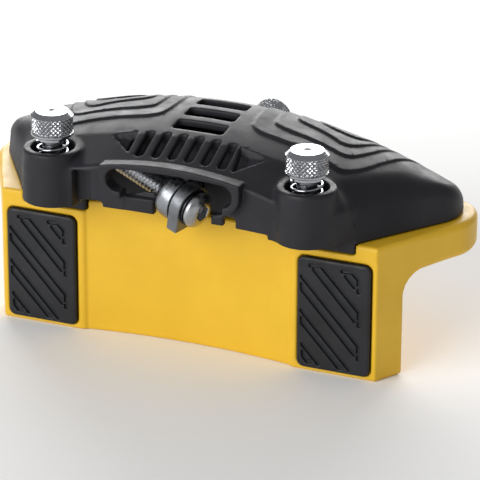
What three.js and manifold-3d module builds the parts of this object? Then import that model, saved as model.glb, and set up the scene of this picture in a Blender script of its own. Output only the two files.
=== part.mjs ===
// Edge tuning tool: a hand-held planer for the plastic sidewall above a ski's steel edge.
// Millimetres, +Z up. The guide plane that lies on the ski's running surface faces -Y.
import * as THREE from 'three';
import { mergeVertices } from 'three/addons/utils/BufferGeometryUtils.js';
import Module from 'manifold-3d';

const wasm = await Module();
wasm.setup();

// ---- driving dimensions ----
const gap = 0.3;                  // clearance between pieces that touch
const round = 24;                 // sides of a turned piece

const guide_y = -25.55;           // guide plane, measured from the centre of the bounding box
const leg_half_length = 57.8;
const leg_thickness = 8.9;
const plate_top = 40.3;
const plate_thickness = 10.2;
const plate_half_length = 74.2;
const plate_rear = 54.2;          // rear edge of the handle plate, behind the guide plane
const corner_fillet = 6.5;
const recess_half_length = 31.5;
const recess_depth = 3.5;

const pad_x = 45.27;
const pad_z = 18.1;
const pad_width = 21.7;
const pad_height = 33.4;
const pad_corner = 2;
const pad_pocket = 1.4;
const pad_proud = 0.9;

const edge_plane = 42.1;          // height of the feet, which ride on the steel edge
const wall = 2.4;
const apron_bottom = 43.4;         // lower edge of the cover's front wall, above the ski's edge
const apron_half_length = 29;
const dome_top = 65.5;
const dome_top_y = 26;
const arch_radius = 153;
const back_radius = 20;           // of the palm rest behind the dome's top
const end_roll = 5;               // how far the dome rolls down at its rim

const boss_x = 38.71;
const boss_y = -5.25;
const boss_top = 57.9;
const boss_radius = 8.74;
const counterbore_radius = 6.25;
const counterbore_floor = 51.4;
const insert_hole_radius = 5;
const foot_height = 3.5;

const tongue_start = 31.3;
const tongue_end = 51;
const tongue_bottom = 37.4;
const tongue_depth = 3.2;

const screw_radius = 3;           // M6
const head_radius = 6;
const head_bottom = 61.5;
const head_top = 68.5;
const spring_radius = 4.65;
const spring_wire = 1;

const bracket_front = -12;
const bracket_back = -7.5;
const bracket_band = 2.2;         // width of the bracket's arms, below the slot
const bracket_top = 59.2;
const bracket_shoulder = 57.1;
const lobe_x = 15.8;              // the slot's round ends
const lobe_z = 53.3;
const lobe_radius = 3.3;
const arm_end_left = 14.7;
const arm_end_right = 16.2;
const slot_pitch = 5;             // of the six finger slots on the front slope

const holder_z = 48.9;
const holder_y = -6.2;
const holder_radius = 6.6;
const holder_back = -3.7;         // ends of its barrel, along the cutter's axis
const holder_front = 2.4;
const cutter_yaw = THREE.MathUtils.degToRad(-18.2);
const cutter_dip = THREE.MathUtils.degToRad(13.7);
const blade_tilt = THREE.MathUtils.degToRad(28);
const blade_thickness = 3.8;
const blade_radius = 6;
const blade_corner = 8.4;         // from the blade's hole to its square corner
const washer_thickness = 0.5;
const stud_length = 22;           // screw end, behind the holder's middle

const rear_wall = 51.9;
const knob_start = 54.1;
const knob_end = 65.1;

const cover_screws = {
  front_left: [-50, 15], front_right: [50, 15], rear_left: [-38, 38], rear_right: [38, 38],
};

const X = new THREE.Vector3(1, 0, 0);
const Y = new THREE.Vector3(0, 1, 0);
const Z = new THREE.Vector3(0, 0, 1);

const shank_place = { at: [0, 0, holder_z], axis: Y };

// ---- helpers ----

// A closed three.js geometry as a manifold solid.
function solid(geometry) {
  const bare = new THREE.BufferGeometry();
  bare.setAttribute('position', geometry.getAttribute('position').clone());
  bare.setIndex(geometry.getIndex());
  const merged = mergeVertices(bare, 1e-4);
  const corners = merged.getIndex().array;
  const triangles = [];
  for (let i = 0; i < corners.length; i += 3) {
    const [a, b, c] = corners.slice(i, i + 3);
    if (a !== b && b !== c && c !== a) triangles.push(a, b, c);
  }
  return new wasm.Manifold(new wasm.Mesh({
    numProp: 3,
    vertProperties: merged.getAttribute('position').array,
    triVerts: Uint32Array.from(triangles),
  }));
}

// A manifold solid as a three.js geometry.
function geometry_of(manifold) {
  const mesh = manifold.getMesh();
  const geometry = new THREE.BufferGeometry();
  geometry.setAttribute('position', new THREE.BufferAttribute(mesh.vertProperties, 3));
  geometry.setIndex(new THREE.BufferAttribute(mesh.triVerts, 1));
  geometry.computeVertexNormals();
  return geometry;
}

// A shape drawn in two axes and extruded along the third, from start to end.
function slab(shape, start, end, [across, up] = [X, Y], curveSegments = 8) {
  const normal = new THREE.Vector3().crossVectors(across, up);
  return solid(new THREE.ExtrudeGeometry(shape, { depth: end - start, bevelEnabled: false, curveSegments })
    .translate(0, 0, start)
    .applyMatrix4(new THREE.Matrix4().makeBasis(across, up, normal)));
}

function box(x0, x1, y0, y1, z0, z1) {
  return solid(new THREE.BoxGeometry(x1 - x0, y1 - y0, z1 - z0)
    .translate((x0 + x1) / 2, (y0 + y1) / 2, (z0 + z1) / 2));
}

// A piece turned about an axis: its profile is [radius, distance along the axis] pairs.
function turned(profile, { at = [0, 0, 0], axis = Z, sides = round } = {}) {
  const points = profile.map(([r, h]) => new THREE.Vector2(r, h));
  const spin = new THREE.Quaternion().setFromUnitVectors(Y, axis);
  return solid(new THREE.LatheGeometry(points, sides).applyQuaternion(spin).translate(...at));
}

function rod(radius, start, end, place = {}) {
  return turned([[0, start], [radius, start], [radius, end], [0, end]], place);
}

function tube(inner, outer, start, end, place = {}) {
  return turned([[inner, start], [outer, start], [outer, end], [inner, end], [inner, start]], place);
}

function rounded_rectangle(width, height, corner) {
  const [w, h] = [width / 2, height / 2];
  const shape = new THREE.Shape();
  shape.moveTo(-w + corner, -h);
  shape.lineTo(w - corner, -h);
  shape.absarc(w - corner, -h + corner, corner, -Math.PI / 2, 0);
  shape.absarc(w - corner, h - corner, corner, 0, Math.PI / 2);
  shape.absarc(-w + corner, h - corner, corner, Math.PI / 2, Math.PI);
  shape.absarc(-w + corner, -h + corner, corner, Math.PI, Math.PI * 1.5);
  return shape;
}

// The cover's tongue behind a depth screw's boss, let into the guide leg's top edge.
function tongue(side, clearance) {
  const [low, high] = [tongue_start - clearance, tongue_end + clearance].map((x) => side * x);
  return box(Math.min(low, high), Math.max(low, high), -2 * clearance, tongue_depth + clearance,
    tongue_bottom - clearance, 46);
}

// ---- base body: guide leg and flared handle plate ----

function base_outline() {
  const s = new THREE.Shape();
  s.moveTo(-recess_half_length, 0);
  s.quadraticCurveTo(0, 2 * recess_depth, recess_half_length, 0);
  s.lineTo(leg_half_length, 0);
  s.lineTo(plate_half_length - 2.2, 25.5);
  s.quadraticCurveTo(plate_half_length + 1, 30.5, plate_half_length - 0.4, 37);
  s.quadraticCurveTo(plate_half_length - 2, 44.5, 65, 46.2);
  s.quadraticCurveTo(0, 2 * plate_rear - 46.2, -65, 46.2);
  s.quadraticCurveTo(-plate_half_length + 2, 44.5, -plate_half_length + 0.4, 37);
  s.quadraticCurveTo(-plate_half_length - 1, 30.5, -plate_half_length + 2.2, 25.5);
  s.lineTo(-leg_half_length, 0);
  return s;
}

function base_section() {
  const underside = plate_top - plate_thickness;
  const s = new THREE.Shape();
  s.moveTo(0, 0);
  s.lineTo(leg_thickness, 0);
  s.lineTo(leg_thickness, underside - corner_fillet);
  s.absarc(leg_thickness + corner_fillet, underside - corner_fillet, corner_fillet,
    Math.PI, Math.PI / 2, true);
  s.lineTo(plate_rear + 1, underside);
  s.lineTo(plate_rear + 1, plate_top);
  s.lineTo(0, plate_top);
  return s;
}

function make_base() {
  let base = slab(base_outline(), 0, plate_top, [X, Y], 10);
  base = base.intersect(slab(base_section(), -80, 80, [Y, Z], 5));
  for (const side of [-1, 1]) {
    const pocket = rounded_rectangle(pad_width + 2 * gap, pad_height + 2 * gap, pad_corner + gap);
    base = base.subtract(slab(pocket, -pad_pocket, 1, [X, Z], 4).translate([side * pad_x, 0, pad_z]));
    base = base.subtract(tongue(side, gap));
  }
  for (const [x, y] of Object.values(cover_screws)) {
    base = base.subtract(rod(1.8, 20, 50, { at: [x, y, 0], sides: 16 }));
    base = base.subtract(rod(3.6, 20, 33.4, { at: [x, y, 0], sides: 20 }));
  }
  return base;
}

function make_pad(side) {
  const shape = rounded_rectangle(pad_width, pad_height, pad_corner);
  return slab(shape, gap - pad_pocket, pad_proud, [X, Z], 4).translate([side * pad_x, 0, pad_z]);
}

// ---- cover: domed shell with bosses, posts and the slotted guide for the holder ----

// Height of the dome's skin, before it rolls down at its rim.
function dome(x, y) {
  const slope = y < 3.3 ? 0.44 * (3.3 - y) : 0;
  const crown = 0.005 * Math.max(0, dome_top_y - Math.max(y, 3.3)) ** 2;
  const back = Math.max(0, y - dome_top_y) ** 2 / (2 * back_radius);
  return dome_top - slope - crown - back - x * x / (2 * arch_radius);
}

// The rim's right half, from the middle of the front to the middle of the back.
function cover_half_rim() {
  const s = new THREE.Path();
  s.moveTo(0, -8.6);
  s.quadraticCurveTo(12, -8.7, 22, -9.3);
  s.lineTo(33, -10.5);
  s.lineTo(46, -8.5);
  s.lineTo(52.2, 1);
  s.lineTo(68.6, 25.5);
  s.quadraticCurveTo(71.4, 30, 70, 36);
  s.quadraticCurveTo(68.6, 42, 61, 43.6);
  s.quadraticCurveTo(30, 51, 0, 51.2);
  return s.getSpacedPoints(30);
}

function cover_rim(inset) {
  const right = cover_half_rim();
  const left = right.slice(1, -1).reverse().map(({ x, y }) => new THREE.Vector2(-x, y));
  const rim = [...right, ...left];
  return rim.map((point, i) => {
    const before = rim[(i + rim.length - 1) % rim.length];
    const after = rim[(i + 1) % rim.length];
    const along = after.clone().sub(before).normalize();
    return new THREE.Vector2(point.x - along.y * inset, point.y + along.x * inset);
  });
}

// A solid with a flat floor and the dome above it, built as rings drawn in from the rim.
function domed_solid(inset, floor, lowered) {
  const rim = cover_rim(inset);
  const middle = new THREE.Vector2(0, dome_top_y);
  const rings = [0, 1, 1, 0.975, 0.93, 0.86, 0.7, 0.5, 0.25, 0];
  const floor_rings = 2;
  const profile = rings.map((reach, row) => new THREE.Vector2(reach, row));
  const geometry = new THREE.LatheGeometry(profile, rim.length);
  const places = geometry.getAttribute('position');
  for (let i = 0; i < places.count; i++) {
    const row = i % rings.length;
    const edge = rim[Math.floor(i / rings.length) % rim.length];
    const { x, y } = middle.clone().lerp(edge, rings[row]);
    const roll = end_roll * THREE.MathUtils.smoothstep(edge.y, -6, 14);
    const near = THREE.MathUtils.clamp((rings[row] - 0.86) / 0.14, 0, 1);
    const skin = dome(x, y) - lowered - roll * (1 - Math.sqrt(1 - near * near));
    places.setXYZ(i, x, y, row < floor_rings ? floor : Math.max(skin, floor + 1));
  }
  return solid(geometry);
}

// The slot that the holder hangs in: round at both ends and open at the bottom.
function slot_shape() {
  const floor = lobe_z - lobe_radius;
  const s = new THREE.Shape();
  s.moveTo(-arm_end_left, floor);
  s.lineTo(-lobe_x, floor);
  s.absarc(-lobe_x, lobe_z, lobe_radius, -Math.PI / 2, Math.PI / 2, true);
  s.quadraticCurveTo(0, 2 * bracket_top - 4.4 - lobe_z - lobe_radius, lobe_x, lobe_z + lobe_radius);
  s.absarc(lobe_x, lobe_z, lobe_radius, Math.PI / 2, -Math.PI / 2, true);
  s.lineTo(arm_end_right, floor);
  s.lineTo(arm_end_right, edge_plane - 1);
  s.lineTo(-arm_end_left, edge_plane - 1);
  return s;
}

// The opening in the cover's front wall behind the bracket, with a way out for the screw's end.
function wall_opening() {
  const s = new THREE.Shape();
  s.moveTo(-lobe_x - 1, 47);
  s.lineTo(-lobe_x - 1, lobe_z + 2);
  s.lineTo(-8.5, 56.3);
  s.lineTo(8.5, 56.3);
  s.lineTo(lobe_x + 1, lobe_z + 2);
  s.lineTo(lobe_x + 1, 47);
  s.lineTo(11.6, 46);
  s.lineTo(11.6, edge_plane - 1);
  s.lineTo(-6.6, edge_plane - 1);
  s.lineTo(-6.6, 48.5);
  s.lineTo(-9, 48.5);
  return s;
}

function bracket_shape() {
  const corner = bracket_band + lobe_radius;
  const s = new THREE.Shape();
  s.moveTo(-lobe_x, lobe_z - corner);
  s.absarc(-lobe_x, lobe_z, corner, -Math.PI / 2, -Math.PI, true);
  s.lineTo(-lobe_x - corner, bracket_shoulder);
  s.quadraticCurveTo(0, 2 * bracket_top - bracket_shoulder, lobe_x + corner, bracket_shoulder);
  s.lineTo(lobe_x + corner, lobe_z);
  s.absarc(lobe_x, lobe_z, corner, 0, -Math.PI / 2, true);
  return s;
}

function make_cover() {
  const outside = domed_solid(0, plate_top + gap, 0);
  let cover = outside.subtract(domed_solid(wall, plate_top - 5, wall));
  for (const [x, y] of Object.values(cover_screws)) {
    cover = cover.add(rod(4, plate_top + gap, 70, { at: [x, y, 0], sides: 20 }).intersect(outside));
  }
  cover = cover.add(rod(7.5, 40, rear_wall, { at: [0, 0, holder_z], axis: Y }));
  cover = cover.add(make_shank_guide(outside));
  cover = cover.subtract(box(-80, 80, -30, -gap, 0, edge_plane));
  cover = cover.subtract(box(-apron_half_length, apron_half_length, -30, -gap, 0, apron_bottom));
  cover = cover.subtract(slab(wall_opening(), 4, 8.8, [X, Z]));
  cover = cover.subtract(box(-30.4, -25, -20, -6.2, 43, 53.6));
  cover = cover.add(box(-31.5, -24, -6.2, -4.4, apron_bottom, 54.5));
  cover = cover.add(slab(bracket_shape(), -bracket_back, -bracket_front, [X, Z], 6));
  for (const side of [-1, 1]) {
    const at = [side * boss_x, boss_y, 0];
    cover = cover.add(turned([[0, edge_plane], [boss_radius, edge_plane], [boss_radius - 0.3, boss_top],
      [0, boss_top]], { at }));
    cover = cover.add(tongue(side, 0));
    cover = cover.subtract(rod(insert_hole_radius, 30, 70, { at }));
    cover = cover.subtract(rod(counterbore_radius, counterbore_floor, 70, { at }));
  }
  for (const [x, y] of Object.values(cover_screws)) {
    cover = cover.subtract(rod(1.8, 20, 51, { at: [x, y, 0], sides: 16 }));
  }
  cover = cover.subtract(rod(4.9, 40, 60, { at: [0, 0, holder_z], axis: Y }));
  const slot = slab(slot_shape(), 3, 20, [X, Z], 6);
  cover = cover.subtract(slot.intersect(box(-30, 30, -20, 0, lobe_z - lobe_radius, 70)));
  cover = cover.subtract(slot.intersect(box(-30, 30, -20, bracket_back, 47.6, 70)));
  cover = cover.subtract(slot.intersect(box(-30, 30, -20, -8.8, 0, 70)));
  cover = cover.subtract(box(-26.7, -21.5, -20, gap, 0, 45.1));
  cover = cover.subtract(box(15.2, 19.1, -20, gap, 0, 46.5));
  for (const y of [10.3, 18.6, 26.9]) {
    cover = cover.subtract(box(-7.7, 7.7, y - 2.6, y + 2.6, 58, 70));
  }
  for (let i = 0; i < 6; i++) {
    const x = (i - 2.5) * slot_pitch;
    cover = cover.subtract(box(x - 1.3, x + 1.3, -4.9, 4.9, 56, 70));
  }
  return cover;
}

// A cross wall behind the cutter, with the boss that guides the holder's shank.
function make_shank_guide(outside) {
  const front = 5.2;
  const boss = turned([[0, front], [8.5, front], [8.5, front + 1.5], [10.8, front + 1.5], [10.8, 13],
    [0, 13]], shank_place);
  const cross_wall = box(-27, 27, front, front + 1.6, plate_top + gap, 70);
  const above_plate = box(-20, 20, 0, 20, plate_top + gap, 70);
  return boss.intersect(above_plate).add(cross_wall).intersect(outside)
    .subtract(rod(screw_radius + gap, 0, 20, shank_place));
}

// ---- depth screws, one at each end ----

function make_insert(side) {
  return tube(screw_radius + gap, insert_hole_radius - gap, 46.2, counterbore_floor - gap,
    { at: [side * boss_x, boss_y, 0] });
}

function make_foot(side) {
  const bottom = edge_plane + gap;
  const top = bottom + foot_height;
  const radius = insert_hole_radius - gap;
  return turned([[0, bottom], [radius - 0.6, bottom], [radius, bottom + 0.6], [radius, top], [2.3, top],
    [2.3, top - 2], [0, top - 2]], { at: [side * boss_x, boss_y, 0] });
}

function make_depth_screw(side) {
  const tip = edge_plane + foot_height + gap - 1.6;
  return turned([[0, tip], [2, tip], [2, tip + 2], [screw_radius, tip + 3], [screw_radius, 60.1], [4.4, 60.1],
    [4.4, head_bottom], [head_radius - 0.5, head_bottom], [head_radius, head_bottom + 0.5],
    [head_radius, 66.9], [4.6, head_top], [0, head_top]], { at: [side * boss_x, boss_y, 0] });
}

function make_spring(side) {
  return tube(spring_radius - spring_wire, spring_radius, counterbore_floor + gap, 59.8,
    { at: [side * boss_x, boss_y, 0] });
}

// ---- cutter: holder, blade, washer and screw on one axis ----

const cutter_axis = X.clone().applyAxisAngle(Y, cutter_dip).applyAxisAngle(Z, cutter_yaw);
const cutter_place = { at: [0, holder_y, holder_z], axis: cutter_axis };
const blade_start = holder_front + gap;
const washer_start = blade_start + blade_thickness + gap;
const screw_head_start = washer_start + washer_thickness + gap;

function make_holder() {
  const corner = 3.6;
  const profile = [[0, holder_back]];
  for (let i = 0; i <= 5; i++) {
    const turn = i * Math.PI / 10;
    profile.push([holder_radius - corner * (1 - Math.sin(turn)),
      holder_back + corner * (1 - Math.cos(turn))]);
  }
  profile.push([holder_radius, holder_front], [0, holder_front]);
  let holder = turned(profile, cutter_place);
  holder = holder.add(rod(screw_radius, 0, 60 - holder_y, { at: [0, holder_y, holder_z], axis: Y }));
  return holder.subtract(rod(screw_radius + gap, -20, 20, cutter_place));
}

// Teardrop: round, with one square corner.
function blade_shape() {
  const s = new THREE.Shape();
  s.moveTo(0, -blade_corner);
  s.lineTo(blade_radius * Math.SQRT1_2, -blade_radius * Math.SQRT1_2);
  s.absarc(0, 0, blade_radius, -Math.PI / 4, Math.PI * 1.25);
  const hole = new THREE.Path();
  hole.absarc(0, 0, screw_radius + gap, 0, 2 * Math.PI);
  s.holes.push(hole);
  return s;
}

function make_blade() {
  const sideways = new THREE.Vector3().crossVectors(Z, cutter_axis).normalize();
  const upward = new THREE.Vector3().crossVectors(cutter_axis, sideways);
  const geometry = new THREE.ExtrudeGeometry(blade_shape(),
    { depth: blade_thickness, bevelEnabled: false, curveSegments: 24 });
  geometry.rotateZ(-blade_tilt).translate(0, 0, blade_start);
  geometry.applyMatrix4(new THREE.Matrix4().makeBasis(sideways, upward, cutter_axis));
  return solid(geometry.translate(0, holder_y, holder_z));
}

function make_blade_washer() {
  return tube(screw_radius + gap, 5.4, washer_start, washer_start + washer_thickness, cutter_place);
}

function make_blade_screw() {
  const rim = 5.3;
  const dome_start = screw_head_start + 0.5;
  const profile = [[0, -stud_length], [screw_radius - 0.6, -stud_length], [screw_radius, 0.6 - stud_length],
    [screw_radius, screw_head_start], [rim, screw_head_start], [rim, dome_start]];
  for (let i = 1; i <= 4; i++) {
    const turn = i * Math.PI / 10;
    profile.push([rim * Math.cos(turn) + 0.9 * i / 4, dome_start + 2.3 * Math.sin(turn)]);
  }
  const top = profile.at(-1)[1];
  profile.push([0, top]);
  const socket_at = cutter_axis.clone().multiplyScalar(top).add(new THREE.Vector3(...cutter_place.at));
  const socket = solid(new THREE.CylinderGeometry(2.31, 2.31, 2, 6)
    .applyQuaternion(new THREE.Quaternion().setFromUnitVectors(Y, cutter_axis))
    .translate(...socket_at.toArray()));
  return turned(profile, cutter_place).subtract(socket);
}

// ---- rear adjustment on the holder's shank ----

function make_guide_bush() {
  const [inner, outer] = [screw_radius + gap, 4.6];
  return turned([[inner, 44], [outer, 44], [outer, rear_wall + gap], [6.4, rear_wall + gap],
    [6.4, rear_wall + gap + 0.6], [inner, rear_wall + gap + 0.6], [inner, 44]], shank_place);
}

function make_thrust_washer() {
  return tube(screw_radius + gap, 6, rear_wall + 1.2, rear_wall + 1.9, shank_place);
}

function make_rear_knob() {
  const bore = screw_radius + gap;
  return turned([[bore, knob_start], [head_radius - 0.5, knob_start], [head_radius, knob_start + 0.5],
    [head_radius, knob_end - 1.6], [4.6, knob_end], [0, knob_end], [0, knob_end - 3], [bore, knob_end - 3],
    [bore, knob_start]], shank_place);
}

function make_cover_screw([x, y]) {
  return turned([[0, 30.9], [3.2, 30.9], [3.2, 33.1], [1.5, 33.1], [1.5, 50.5], [0, 50.5]],
    { at: [x, y, 0], sides: 20 });
}

// ---- finishes and assembly ----

const finishes = {
  yellow_plastic: { color: 0xf2b90f, roughness: 0.45, metalness: 0 },
  black_plastic: { color: 0x2e2f33, roughness: 0.55, metalness: 0 },
  pad_plastic: { color: 0x27282b, roughness: 0.5, metalness: 0 },
  chrome: { color: 0xd9dadd, roughness: 0.15, metalness: 1 },
  spring_steel: { color: 0xc4c6ca, roughness: 0.25, metalness: 1 },
  carbide: { color: 0x8f9194, roughness: 0.35, metalness: 1 },
  washer_steel: { color: 0x6f7175, roughness: 0.3, metalness: 1 },
  brass: { color: 0xc9a24b, roughness: 0.3, metalness: 1 },
  zinc_steel: { color: 0xb4b6b8, roughness: 0.35, metalness: 1 },
};

const tool = new THREE.Group();
tool.position.y = guide_y;

function add(name, shape, finish) {
  const mesh = new THREE.Mesh(geometry_of(shape), new THREE.MeshStandardMaterial(finishes[finish]));
  mesh.name = name;
  tool.add(mesh);
}

add('base_body', make_base(), 'yellow_plastic');
add('handle_cover', make_cover(), 'black_plastic');
for (const [name, side] of [['left', -1], ['right', 1]]) {
  add(`glide_pad_${name}`, make_pad(side), 'pad_plastic');
  add(`thread_insert_${name}`, make_insert(side), 'brass');
  add(`depth_foot_${name}`, make_foot(side), 'zinc_steel');
  add(`depth_screw_${name}`, make_depth_screw(side), 'chrome');
  add(`depth_spring_${name}`, make_spring(side), 'spring_steel');
}
add('blade_holder', make_holder(), 'chrome');
add('blade', make_blade(), 'carbide');
add('blade_washer', make_blade_washer(), 'washer_steel');
add('blade_screw', make_blade_screw(), 'chrome');
add('guide_bush', make_guide_bush(), 'brass');
add('thrust_washer', make_thrust_washer(), 'zinc_steel');
add('rear_knob', make_rear_knob(), 'chrome');
for (const [name, place] of Object.entries(cover_screws)) {
  add(`cover_screw_${name}`, make_cover_screw(place), 'zinc_steel');
}

const assembly = new THREE.Group();
assembly.add(tool);
assembly.updateMatrixWorld(true);

export default assembly;
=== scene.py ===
"""Looks of a ski sidewall planer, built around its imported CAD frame.

Moulded parts are shaped as distance fields and meshed, metal parts are turned or swept.
Shapes are worked out in millimetres, with y measured from the guide plane that faces -Y.
"""
import math

import bmesh
import bpy
import numpy as np
import openvdb
from mathutils import Matrix, Vector


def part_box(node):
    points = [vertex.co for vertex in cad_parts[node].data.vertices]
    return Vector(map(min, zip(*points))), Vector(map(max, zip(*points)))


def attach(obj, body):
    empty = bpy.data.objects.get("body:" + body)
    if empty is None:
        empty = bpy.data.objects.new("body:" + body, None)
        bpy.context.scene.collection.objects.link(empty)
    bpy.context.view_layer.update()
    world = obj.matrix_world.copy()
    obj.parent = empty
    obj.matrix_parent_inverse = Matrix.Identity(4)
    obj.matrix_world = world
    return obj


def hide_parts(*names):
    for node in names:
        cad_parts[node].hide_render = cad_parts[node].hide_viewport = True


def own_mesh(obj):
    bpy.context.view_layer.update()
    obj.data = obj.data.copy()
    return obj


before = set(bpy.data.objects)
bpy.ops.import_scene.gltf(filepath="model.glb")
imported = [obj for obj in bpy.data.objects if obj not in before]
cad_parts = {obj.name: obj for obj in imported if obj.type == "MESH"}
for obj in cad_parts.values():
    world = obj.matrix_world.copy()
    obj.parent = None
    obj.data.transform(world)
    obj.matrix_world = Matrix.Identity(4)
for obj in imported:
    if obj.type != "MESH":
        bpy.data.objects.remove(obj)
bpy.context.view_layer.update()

MM = 0.001
GUIDE_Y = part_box("base_body")[0].y / MM


def extent(node):
    """Lowest and highest corner of a CAD node, in millimetres, with y from the guide plane."""
    low, high = (np.array(corner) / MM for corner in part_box(node))
    return low - (0, GUIDE_Y, 0), high - (0, GUIDE_Y, 0)


# ---- driving dimensions, in millimetres ----

GAP = 0.3                          # between pieces that touch

BASE_LOW, BASE_HIGH = extent("base_body")
PLATE_TOP = BASE_HIGH[2]
PLATE_THICKNESS = 10.2
PLATE_REAR = BASE_HIGH[1]
PLATE_HALF_LENGTH = BASE_HIGH[0]
LEG_HALF_LENGTH = 57.8
LEG_THICKNESS = 8.9
CORNER_FILLET = 6.5
RECESS_HALF_LENGTH = 31.5
RECESS_DEPTH = 3.5

PAD_LOW, PAD_HIGH = extent("glide_pad_right")
PAD_MIDDLE = (PAD_LOW + PAD_HIGH) / 2
PAD_CORNER = 2.0
PAD_POCKET = 1.4

EDGE_PLANE = extent("depth_foot_right")[0][2] - GAP   # the feet ride on the steel edge
APRON_BOTTOM = 43.4                # lower edge of the cover's front wall
APRON_HALF_LENGTH = 29.0
SHELL = 2.2
DOME_TOP = 65.5
DOME_TOP_Y = 26.0
FRONT_SLOPE_Y = 3.3
ARCH_RADIUS = 153.0
BACK_RADIUS = 20.0
FLANK_LEAN = 0.3

TONGUE_START, TONGUE_END = 31.3, 51.0        # the cover's tongues behind the depth screws' bosses
TONGUE_BOTTOM, TONGUE_TOP = 37.4, 46.0
TONGUE_DEPTH = 3.2

SCREW_LOW, SCREW_HIGH = extent("depth_screw_right")
BOSS_X, BOSS_Y = ((SCREW_LOW + SCREW_HIGH) / 2)[:2]
BOSS_TOP = 57.9
BOSS_RADIUS = 8.74
COUNTERBORE_RADIUS = 6.25
COUNTERBORE_FLOOR = extent("depth_spring_right")[0][2] - GAP
INSERT_RADIUS = 5.0
SCREW_RADIUS = 3.0
HEAD_RADIUS = 6.0
HEAD_HEIGHT = 7.0

BRACKET_FRONT = -12.0
BRACKET_BACK = -7.5
BRACKET_BAND = 2.2
BRACKET_TOP = 59.25
BRACKET_ARCH = 0.0048              # fall of its top edge towards both ends, per square millimetre
LOBE_X = 15.8
LOBE_Z = 53.3
LOBE_RADIUS = 3.3
ARM_END_LEFT, ARM_END_RIGHT = 14.7, 16.2

AXIS_Z = extent("rear_knob")[0][2] + HEAD_RADIUS      # height of the holder's shank
HOLDER_Y = -6.2
CUTTER_YAW, CUTTER_DIP = math.radians(-18.2), math.radians(13.7)
CUTTER_AXIS = Vector((math.cos(CUTTER_DIP) * math.cos(CUTTER_YAW),
                      math.cos(CUTTER_DIP) * math.sin(CUTTER_YAW),
                      -math.sin(CUTTER_DIP)))
REAR_WALL = 51.9
REAR_BOSS_START = 40.0
REAR_BOSS_RADIUS = 7.5
BUSH_BORE_RADIUS = 4.9

COVER_SCREWS = {
    name: (sum(extent("cover_screw_" + name)) / 2)[:2]
    for name in ("front_left", "front_right", "rear_left", "rear_right")
}
POST_RADIUS = 4.0
SCREW_HOLE_RADIUS = 1.8
SCREW_HOLE_TOP = 51.0
SCREW_HEAD_HOLE_RADIUS = 3.6
SCREW_HEAD_HOLE_TOP = 33.4


# ---- outlines ----

def bend(start, control, end, steps=12):
    """Points along a quadratic curve, without its first one."""
    t = np.linspace(0, 1, steps + 1)[1:, None]
    start, control, end = (np.array(p, float) for p in (start, control, end))
    return [tuple(p) for p in (1 - t) ** 2 * start + 2 * t * (1 - t) * control + t**2 * end]


def mirrored(right):
    """A closed outline from its right half, which starts and ends on the middle line."""
    return right + [(-x, y) for x, y in reversed(right[1:-1])]


def softened(points, rounds=2):
    """An open line with its corners cut again and again, which rounds them."""
    points = np.array(points, float)
    for _ in range(rounds):
        near = 0.75 * points[:-1] + 0.25 * points[1:]
        far = 0.25 * points[:-1] + 0.75 * points[1:]
        cut_points = np.stack([near, far], 1).reshape(-1, 2)
        points = np.concatenate([points[:1], cut_points, points[-1:]])
    return [tuple(p) for p in points]


def base_outline():
    """Plan of the base: guide leg in front, flared handle plate behind."""
    end = PLATE_HALF_LENGTH
    right = [(0, RECESS_DEPTH)]
    right += bend((0, RECESS_DEPTH), (16, RECESS_DEPTH), (RECESS_HALF_LENGTH, 0.9))
    right += bend((RECESS_HALF_LENGTH, 0.9), (32, 0), (33.4, 0), 4)
    right += [(LEG_HALF_LENGTH, 0), (end - 2.2, 25.5)]
    right += bend((end - 2.2, 25.5), (end + 1, 30.5), (end - 0.4, 37))
    right += bend((end - 0.4, 37), (end - 2, 44.5), (65, 46.2))
    right += bend((65, 46.2), (32, PLATE_REAR), (0, PLATE_REAR))
    return mirrored(right)


def cover_outline():
    """Plan of the cover's foot."""
    right = [(0, -8.6)]
    right += bend((0, -8.6), (12, -8.7), (22, -9.3), 6)
    right += [(33, -10.5), (46, -8.5), (52.2, 1), (68.6, 25.5)]
    right += bend((68.6, 25.5), (71.4, 30), (70, 36))
    right += bend((70, 36), (68.6, 42), (61, 43.6))
    right += bend((61, 43.6), (30, 51), (0, 51.2))
    return mirrored(right)


# ---- distance fields: negative inside, on a regular grid ----

def join(a, b, fillet):
    """Both shapes, with a fillet in the corner between them."""
    corner = np.hypot(np.maximum(fillet - a, 0), np.maximum(fillet - b, 0))
    return np.maximum(fillet, np.minimum(a, b)) - corner


def meet(a, b, edge):
    """What the shapes share, with a rounded edge."""
    corner = np.hypot(np.maximum(edge + a, 0), np.maximum(edge + b, 0))
    return np.minimum(-edge, np.maximum(a, b)) + corner


def cut(a, b, edge=0.3):
    """The first shape without the second, with a rounded lip."""
    return meet(a, -b, edge)


def ease(start, end, value):
    t = np.clip((value - start) / (end - start), 0, 1)
    return t * t * (3 - 2 * t)


def between(low, high, value):
    return np.maximum(low - value, value - high)


def rectangle(x, y, half_width, half_height, corner):
    """A rounded rectangle about the origin."""
    dx = np.abs(x) - half_width + corner
    dy = np.abs(y) - half_height + corner
    return np.hypot(np.maximum(dx, 0), np.maximum(dy, 0)) + np.minimum(np.maximum(dx, dy), 0) - corner


def line_distance(points, x, y):
    """Distance to an open line of straight stretches."""
    nearest = np.full(np.broadcast_shapes(x.shape, y.shape), np.inf)
    for (ax, ay), (bx, by) in zip(points, points[1:]):
        dx, dy = bx - ax, by - ay
        along = np.clip(((x - ax) * dx + (y - ay) * dy) / (dx * dx + dy * dy), 0, 1)
        nearest = np.minimum(nearest, np.hypot(x - ax - along * dx, y - ay - along * dy))
    return nearest


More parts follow.
